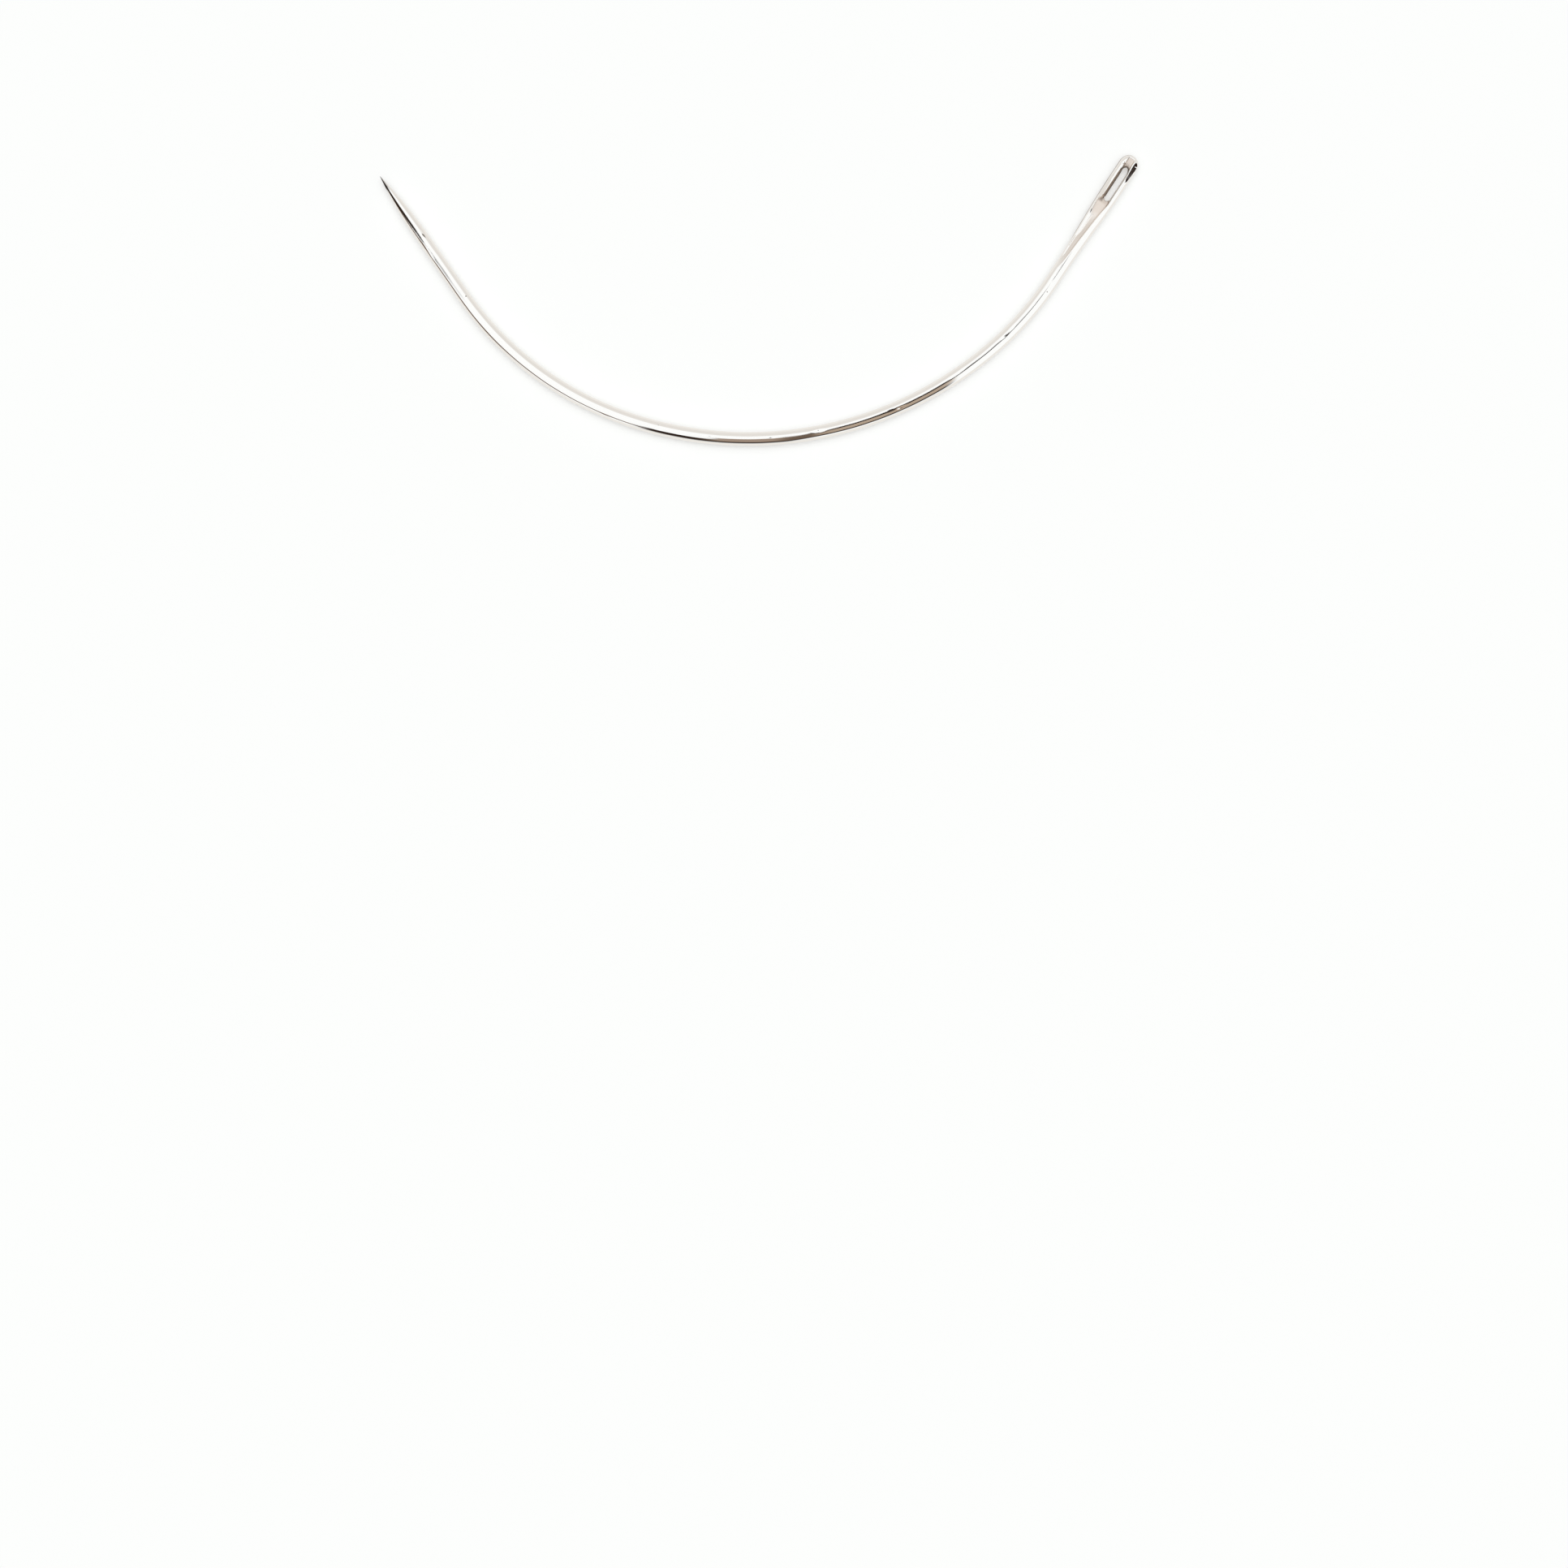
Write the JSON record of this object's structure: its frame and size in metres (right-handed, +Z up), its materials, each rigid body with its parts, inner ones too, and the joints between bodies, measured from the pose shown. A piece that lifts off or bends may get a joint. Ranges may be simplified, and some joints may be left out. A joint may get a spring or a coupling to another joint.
{
  "type": "curved weaving needle",
  "caption": "C-shaped weaving needle of polished nickel-plated steel wire, ground to a sharp point at one end and pressed flat at the other, with a long eye and thread gutters.",
  "frame": {"origin": "middle of the outline, on the surface that the needle lies on", "axes": "+X along the chord from the point to the head, +Y towards the mouth of the C, +Z up, square to the plane of the bend"},
  "size_m": [0.065, 0.0242, 0.0012],
  "materials": {
    "nickel_plate": "bright nickel plate over hardened steel, polished, with fine drawing and grinding lines"
  },
  "bodies": {
    "root": {"needle": "nickel_plate"}
  },
  "joints": []
}
